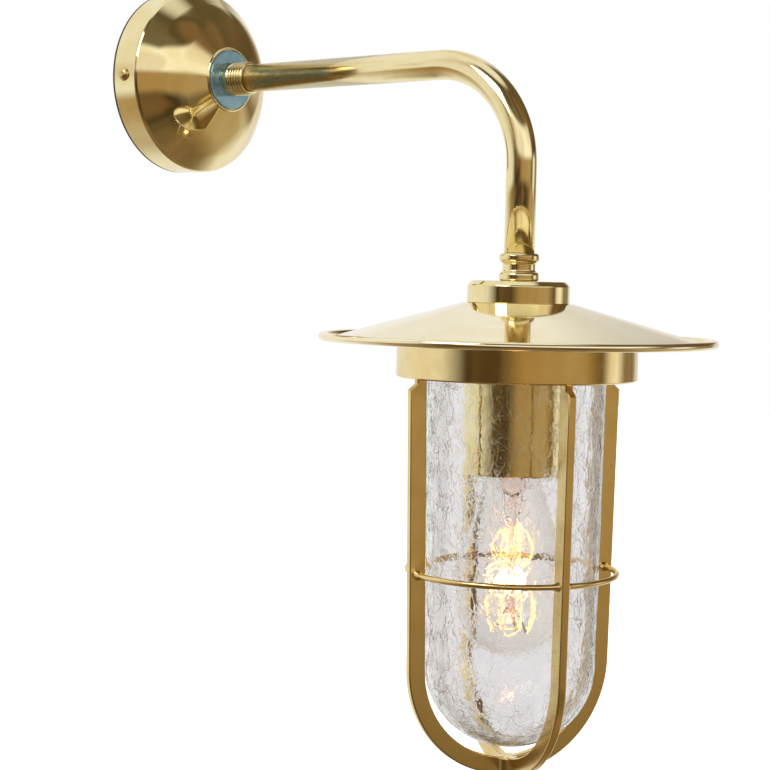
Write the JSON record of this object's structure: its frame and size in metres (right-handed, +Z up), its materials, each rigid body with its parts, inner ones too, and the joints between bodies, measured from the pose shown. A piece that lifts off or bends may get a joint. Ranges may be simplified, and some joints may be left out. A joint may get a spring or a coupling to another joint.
{
  "type": "ship lantern",
  "caption": "Brass ship's wall lantern on a swan-neck arm: round rose, broad visor, crackle-glass dome in a cast guard, screw-cap bulb.",
  "frame": {"origin": "centre of the rose at the wall face, midway between the two wall fixings", "axes": "+X out of the wall along the arm's straight run, +Z up, +Y to the left seen from the wall"},
  "size_m": [0.3609, 0.2088, 0.4315],
  "materials": {
    "polished_brass": "mirror-polished brass",
    "turned_brass": "turned and polished brass",
    "cast_brass": "satin cast brass",
    "plain_brass": "machined brass",
    "zinc_steel": "zinc-plated steel",
    "tinned_contact": "tinned metal",
    "porcelain": "glazed porcelain",
    "black_rubber": "moulded rubber",
    "blue_grey_seal": "blue-grey sealing washer",
    "fibre_washer": "pressed fibre",
    "flex_sheath": "flex sheath",
    "core_insulation": "core insulation",
    "crackle_glass": "crackled clear glass",
    "bulb_clear_glass": "thin clear glass",
    "stem_glass": "pressed glass stem",
    "black_glass": "black glass insulator",
    "carbon_filament": "glowing filament",
    "support_wire": "fine support wire"
  },
  "bodies": {
    "bracket": {"wall_gasket": "black_rubber", "mounting_plate": "zinc_steel", "wall_rose": "polished_brass", "rose_screws": "plain_brass", "terminal_block": "porcelain", "terminal_block_screws": "plain_brass", "earth_screw": "plain_brass", "earth_washer": "zinc_steel", "rose_seal_washer": "blue_grey_seal", "back_washer": "plain_brass", "back_nut": "plain_brass", "rose_coupling": "polished_brass", "arm_tube": "polished_brass", "arm_flex": "flex_sheath", "rose_end_cores": "core_insulation", "lower_coupling": "polished_brass", "hollow_nipple": "plain_brass", "top_cap": "polished_brass", "cap_spacer": "plain_brass", "visor": "polished_brass", "visor_rim_wire": "zinc_steel", "visor_washer": "fibre_washer", "gallery": "turned_brass", "lampholder_cover": "polished_brass", "clamp_washer": "zinc_steel", "clamp_nut": "plain_brass", "holder_cap": "plain_brass", "holder_insert": "porcelain", "holder_terminal_screws": "plain_brass", "holder_end_cores": "core_insulation", "screw_shell": "plain_brass", "centre_contact": "tinned_contact", "side_contact": "tinned_contact", "holder_skirt": "porcelain"},
    "seal": {"glass_gasket": "black_rubber"},
    "glass": {"glass_dome": "crackle_glass"},
    "guard": {"guard": "cast_brass"},
    "bulb": {"bulb_glass": "bulb_clear_glass", "bulb_cap": "plain_brass", "bulb_insulator": "black_glass", "bulb_contact": "tinned_contact", "bulb_stem": "stem_glass", "filament": "carbon_filament", "filament_supports": "support_wire"}
  },
  "joints": [
    {"name": "guard_lift_off", "type": "slide", "parent": "bracket", "child": "seal", "axis": [0, 0, -1], "range_m": [0, 0.175]},
    {"name": "glass_drop", "type": "slide", "parent": "seal", "child": "glass", "axis": [0, 0, -1], "range_m": [0, 0.0091]},
    {"name": "guard_turn", "type": "hinge", "parent": "glass", "child": "guard", "pos_m": [0.2565, 0, -0.1556], "axis": [0, 0, -1], "range_deg": [0, 1080]},
    {"name": "bulb_out", "type": "slide", "parent": "bracket", "child": "bulb", "axis": [0, 0, -1], "range_m": [0, 0.03]}
  ],
  "couplings": [
    {"joint": "glass_drop", "follows": "guard_turn", "m_per_rad": 0.00047746}
  ]
}
